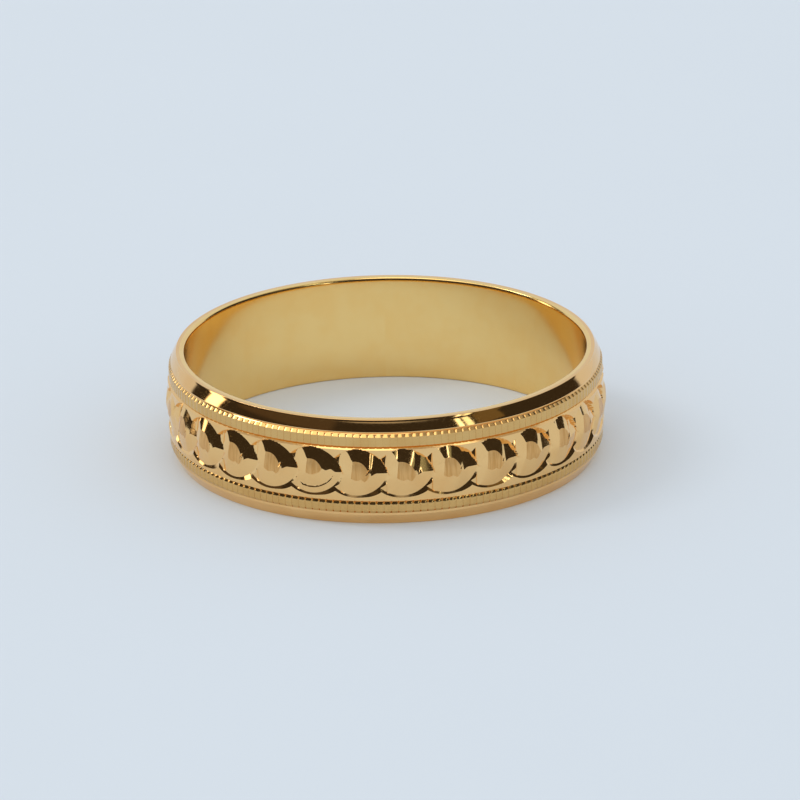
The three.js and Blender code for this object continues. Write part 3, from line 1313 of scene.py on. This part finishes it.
    def unit(self, hand: DiscHand, name: str) -> bpy.types.Object:
        """One disc with its share of the strip, at the front of the ring.

        Args:
            hand: How this disc differs from the others.
            name: Name of the unit.

        Returns:
            The unit, open at its two sides where its neighbours meet it.
        """
        grid = self._snapped_grid(hand)
        radius, _ = self.surface(grid[..., 0], grid[..., 1], hand)
        rising = self._diagonals(grid, radius, hand)
        x = np.concatenate([grid[:, :1, 0], grid[..., 0], grid[:, -1:, 0]], axis=1)
        y = np.concatenate([grid[:, :1, 1], grid[..., 1], grid[:, -1:, 1]], axis=1)
        seat = np.full((self.columns + 1, 1), SLEEVE_RADIUS)
        radius = np.concatenate([seat, radius, seat], axis=1)
        vertices = ring_points(x / NOMINAL_RADIUS, radius, y + MIDDLE)
        count = self.rows + 3
        faces: list[tuple[int, ...]] = []
        centres: list[tuple[float, float]] = []
        for i in range(self.columns):
            for j in range(count):
                a, b = i * count + j, (i + 1) * count + j
                c, d = (i + 1) * count + (j + 1) % count, i * count + (j + 1) % count
                if not 1 <= j <= self.rows:
                    faces.append((a, b, c, d))
                    centres.append(OFF_THE_FACE)
                    continue
                pair = ((a, b, c), (a, c, d)) if rising[i, j - 1] else ((a, b, d), (b, c, d))
                flat = np.stack([x.ravel(), y.ravel()], axis=-1)[np.array(pair)].mean(axis=1)
                faces.extend(pair)
                centres.extend(map(tuple, flat))
        return self._with_engraving(name, vertices, faces, np.array(centres), hand)

    def _with_engraving(self, name: str, vertices: np.ndarray, faces: list[tuple[int, ...]],
                        centres: np.ndarray, hand: DiscHand) -> bpy.types.Object:
        """Make the unit's mesh and mark the faces that carry graver lines.

        Args:
            name: Name of the unit.
            vertices: The unit's points, in metres.
            faces: The unit's faces.
            centres: The middle of each face, along the row and across the strip.
            hand: How this disc differs from the others.

        Returns:
            The unit.
        """
        label = self.surface(centres[:, 0], centres[:, 1], hand)[1]
        engraved = (label % DISC_STRIDE == Facet.ENGRAVED.value).astype(np.float32)
        unit = mesh_object(name, vertices, faces)
        layer = unit.data.attributes.new(ENGRAVED_NAME, "FLOAT", "FACE")
        layer.data.foreach_set("value", engraved)
        return unit

    def build(self) -> None:
        """Cut the strip, finish it and fix it to the ring."""
        units = [self.unit(hand, f"disc_{i}") for i, hand in enumerate(HANDS)]
        array = RingArray(self.discs, seed=self.seed, phase=math.radians(self.disc_azimuth))
        piece = array.build("chased_centre_band", units, self.finish.build())
        smooth_by_angle(piece, self.smooth_turn)
        ride_and_replace(piece, "centre_band")


# ---------------------------------------------------------------------------------------------
# Table, light and camera
# ---------------------------------------------------------------------------------------------


def direction(azimuth: float, elevation: float) -> Vector:
    """Unit vector towards a compass place: azimuth 0 is the front (-Y), 90 the right (+X)."""
    a, e = math.radians(azimuth), math.radians(elevation)
    return Vector((math.sin(a) * math.cos(e), -math.cos(a) * math.cos(e), math.sin(e)))


@dataclass
class PaleTable:
    """The pale table top that the ring stands on.

    Attributes:
        half_size: Half the width of the table top, in metres.
        colour: Its colour, linear.
        mottle: How bright its darker patches are beside its colour.
        mottle_cells: Noise cells to a metre of the patches.
        roughness: Roughness of its surface.
        sheen: How strongly it mirrors, as Blender's specular level.
    """

    half_size: float = 0.20
    colour: tuple[float, float, float] = (0.70, 0.765, 0.83)
    mottle: float = 0.985
    mottle_cells: float = 60.0
    roughness: float = 0.85
    sheen: float = 0.1

    def build(self) -> None:
        """Lay the table top."""
        s = self.half_size
        corners = np.array([(-s, -s, 0.0), (s, -s, 0.0), (s, s, 0.0), (-s, s, 0.0)])
        table = mesh_object("table_top", corners, np.array([(0, 1, 2, 3)]))
        material, bench = new_material("pale_table")
        place = bench.add("ShaderNodeTexCoord")
        tone = bench.noise(place.outputs["Object"], self.mottle_cells, 3.0)
        shader = bench.add("ShaderNodeBsdfPrincipled")
        darker = tuple(self.mottle * c for c in self.colour)
        bench.join(bench.mix(tone, (*self.colour, 1.0), (*darker, 1.0)), shader.inputs["Base Color"])
        shader.inputs["Roughness"].default_value = self.roughness
        shader.inputs["Specular IOR Level"].default_value = self.sheen
        bench.close("ShaderNodeOutputMaterial", shader)
        table.data.materials.append(material)


@dataclass(frozen=True)
class RoomPatch:
    """A soft-edged part of the room that polished metal mirrors.

    Attributes:
        azimuth: Middle of the patch, in degrees round from the front.
        half_width: Half its width in degrees.
        low: Elevation of its lower edge.
        high: Elevation of its upper edge.
        softness: Width of its soft edges in degrees.
        colour: Its radiance, linear.
    """

    azimuth: float
    half_width: float
    low: float
    high: float
    softness: float
    colour: tuple[float, float, float]


DIRECT_MIRROR_DEPTH = 2.5  # rays that the metal mirrored only once have a depth below this


@dataclass
class Room:
    """The room round the table: pale walls, a dim side behind the camera, and windows.

    The patches show only in direct mirror reflections. All other light is the even daylight.

    Attributes:
        daylight: Radiance of the soft daylight that falls on the table, linear.
        walls: Radiance of the pale walls that the metal mirrors.
        patches: What stands out from them, painted in order.
    """

    daylight: tuple[float, float, float] = (0.885, 0.90, 0.915)
    walls: tuple[float, float, float] = (0.70, 0.74, 0.79)
    patches: tuple[RoomPatch, ...] = (
        # The dim side behind the camera, the paler part above it and a slightly lighter patch in it.
        RoomPatch(0.0, 122.0, -8.0, 41.0, 3.0, (0.035, 0.028, 0.02)),
        RoomPatch(0.0, 118.0, 41.0, 120.0, 3.0, (0.46, 0.44, 0.41)),
        RoomPatch(-60.0, 30.0, 24.0, 41.0, 6.0, (0.075, 0.055, 0.035)),
        # A window on the left, and on the right a bright slit with a dimmer strip beside it.
        RoomPatch(-104.0, 5.0, 3.0, 26.0, 2.0, (3.0, 2.6, 2.0)),
        RoomPatch(33.0, 1.2, 5.0, 22.0, 1.0, (3.4, 3.4, 3.2)),
        RoomPatch(37.5, 3.2, 5.0, 22.0, 2.0, (0.30, 0.33, 0.26)),
        # Two bright slits higher up on the right, and a dim warm patch beside them.
        RoomPatch(41.5, 1.4, 23.0, 36.0, 0.6, (2.4, 2.5, 2.2)),
        RoomPatch(46.5, 2.0, 23.0, 36.0, 0.6, (1.6, 1.7, 1.4)),
        RoomPatch(59.0, 8.0, 22.0, 36.0, 1.5, (0.15, 0.11, 0.05)),
        # Two bright patches high up: a wide one towards the left and a small one on the right.
        RoomPatch(-35.0, 57.0, 50.0, 87.0, 4.0, (1.9, 1.8, 1.6)),
        RoomPatch(87.0, 9.0, 58.0, 80.0, 4.0, (1.5, 1.45, 1.3)),
    )

    def build(self) -> None:
        """Make the world that lights and surrounds the table."""
        world = bpy.data.worlds.new("room")
        bpy.context.scene.world = world
        world.use_nodes = True
        bench = NodeBench(world.node_tree)
        x, y, z = bench.split(bench.add("ShaderNodeTexCoord").outputs["Generated"])
        azimuth = bench.math("DEGREES", bench.heading(x, y))
        elevation = bench.math("DEGREES", bench.math("ARCSINE", z))
        colour: object = (*self.walls, 1.0)
        for patch in self.patches:
            share = self._share(bench, patch, azimuth, elevation)
            colour = bench.mix(share, colour, (*patch.colour, 1.0))
        path = bench.add("ShaderNodeLightPath")
        unscattered = bench.math("SUBTRACT", 1.0, path.outputs["Diffuse Depth"], clamp=True)
        once = bench.math("LESS_THAN", path.outputs["Ray Depth"], DIRECT_MIRROR_DEPTH)
        mirrored = bench.math("MULTIPLY", path.outputs["Is Glossy Ray"], unscattered)
        mirrored = bench.math("MULTIPLY", mirrored, once)
        background = bench.add("ShaderNodeBackground")
        bench.feed(background.inputs["Color"], bench.mix(mirrored, (*self.daylight, 1.0), colour))
        background.inputs["Strength"].default_value = 1.0
        bench.close("ShaderNodeOutputWorld", background)

    @staticmethod
    def _share(bench: NodeBench, patch: RoomPatch, azimuth: bpy.types.NodeSocket,
               elevation: bpy.types.NodeSocket) -> bpy.types.NodeSocket:
        """How much of a patch shows in a direction, from 0 to 1."""
        offset = bench.math("SUBTRACT", azimuth, patch.azimuth)
        wrapped = bench.math("WRAP", offset, 180.0, -180.0)
        beside = bench.math("ABSOLUTE", wrapped)
        soft = patch.softness / 2.0
        across = bench.ease(beside, patch.half_width + soft, patch.half_width - soft)
        above = bench.ease(elevation, patch.low - soft, patch.low + soft)
        below = bench.ease(elevation, patch.high + soft, patch.high - soft)
        return bench.math("MULTIPLY", across, bench.math("MULTIPLY", above, below))


@dataclass
class WindowLight:
    """A soft window on the left, which gives the ring its gentle shadow.

    Attributes:
        azimuth: Where it stands, in degrees round from the front.
        elevation: How high it stands.
        distance: How far away it is, in metres.
        width: Its width.
        height: Its height.
        power: Its power in watts.
    """

    azimuth: float = -99.0
    elevation: float = 45.0
    distance: float = 1.2
    width: float = 0.20
    height: float = 0.42
    power: float = 1.7

    def build(self) -> None:
        """Hang the window and turn it towards the ring."""
        light = bpy.data.lights.new("window", "AREA")
        light.shape = "RECTANGLE"
        light.size, light.size_y = self.width, self.height
        light.energy = self.power
        lamp = bpy.data.objects.new("window", light)
        way = direction(self.azimuth, self.elevation)
        lamp.location = way * self.distance
        lamp.rotation_mode = "QUATERNION"
        lamp.rotation_quaternion = way.to_track_quat("Z", "Y")
        bpy.context.scene.collection.objects.link(lamp)


SENSOR_WIDTH = 36.0  # millimetres


@dataclass
class PortraitCamera:
    """A long lens that looks down on the ring from the front.

    Attributes:
        distance: From the ring's middle to the camera, in metres.
        elevation: How far the camera looks down, in degrees.
        roll: How far it is turned about its own line of sight, in degrees.
        focal_length: Focal length in millimetres, on a 36 mm sensor.
        aim_right: How far to the right of the ring's middle it is aimed, in metres.
        aim_up: How far above the ring's middle it is aimed.
    """

    distance: float = 0.411
    elevation: float = 20.62
    roll: float = -0.99
    focal_length: float = 400.2
    aim_right: float = 0.644e-3
    aim_up: float = -0.157e-3

    def build(self) -> None:
        """Set up the camera."""
        data = bpy.data.cameras.new("camera")
        data.lens = self.focal_length
        data.sensor_width = SENSOR_WIDTH
        data.clip_start, data.clip_end = 0.01, 50.0
        camera = bpy.data.objects.new("camera", data)
        back = direction(0.0, self.elevation)
        rolled = Matrix.Rotation(math.radians(self.roll), 3, "Z").to_quaternion()
        turn = back.to_track_quat("Z", "Y") @ rolled
        right, up = turn @ Vector((1.0, 0.0, 0.0)), turn @ Vector((0.0, 1.0, 0.0))
        target = Vector((0.0, 0.0, MIDDLE * MM)) + right * self.aim_right + up * self.aim_up
        camera.location = target + back * self.distance
        camera.rotation_mode = "QUATERNION"
        camera.rotation_quaternion = turn
        bpy.context.scene.collection.objects.link(camera)
        bpy.context.scene.camera = camera


# ---------------------------------------------------------------------------------------------
# The whole scene
# ---------------------------------------------------------------------------------------------


def main() -> None:
    """Build the ring, the table, the light and the camera, in order."""
    logging.basicConfig(level=logging.INFO, format="%(name)s: %(message)s")
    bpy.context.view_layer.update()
    bpy.context.scene.view_settings.view_transform = "Standard"
    PortraitCamera().build()
    PaleTable().build()
    Room().build()
    WindowLight().build()
    LinerSleeve().build()
    for edge in Edge:
        PolishedRim(edge).build()
    MilgrainWire(Edge.UPPER).build()
    # The lower wire's shoulders are shallower, and the one beside the strip is broader.
    MilgrainWire(Edge.LOWER, outer_shoulder=0.07, inner_shoulder=0.068, inner_face=0.55,
                 pinch=0.045).build()
    ChasedBand().build()


if __name__ == "__main__":
    main()
